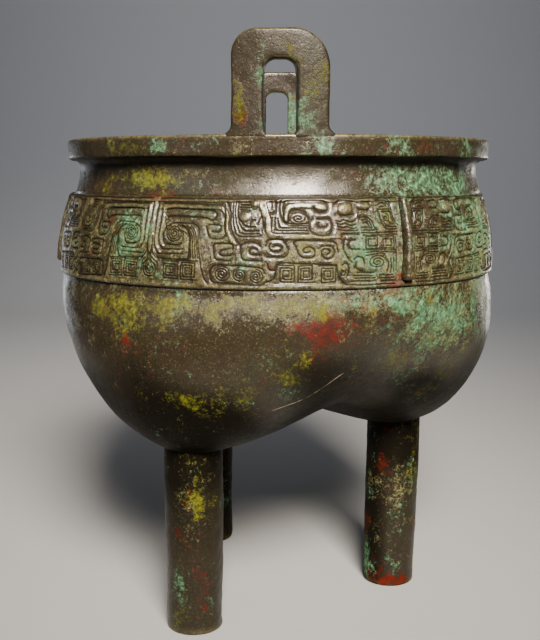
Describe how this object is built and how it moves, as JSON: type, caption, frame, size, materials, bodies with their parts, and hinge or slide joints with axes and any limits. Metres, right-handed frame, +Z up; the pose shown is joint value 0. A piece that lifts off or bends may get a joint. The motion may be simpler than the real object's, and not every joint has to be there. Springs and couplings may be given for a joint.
{
  "type": "bronze ding vessel",
  "caption": "Cast bronze ding: hollow bowl with a lobed underside on round legs, flat rim with upright loop handles, and a raised band of beast masks between flanges.",
  "frame": {"origin": "middle of the vessel's bounding box, on the floor it stands on", "axes": "+Z up; -Y is the front, with one handle over it and the other at the back; a leg stands towards +X and the other two towards -X, front and back"},
  "size_m": [0.2016, 0.1982, 0.2502],
  "materials": {
    "patinated_bronze": "satin dark olive-brown bronze with green, turquoise and red-brown patina"
  },
  "bodies": {
    "root": {"ding_vessel": "patinated_bronze"}
  },
  "joints": []
}
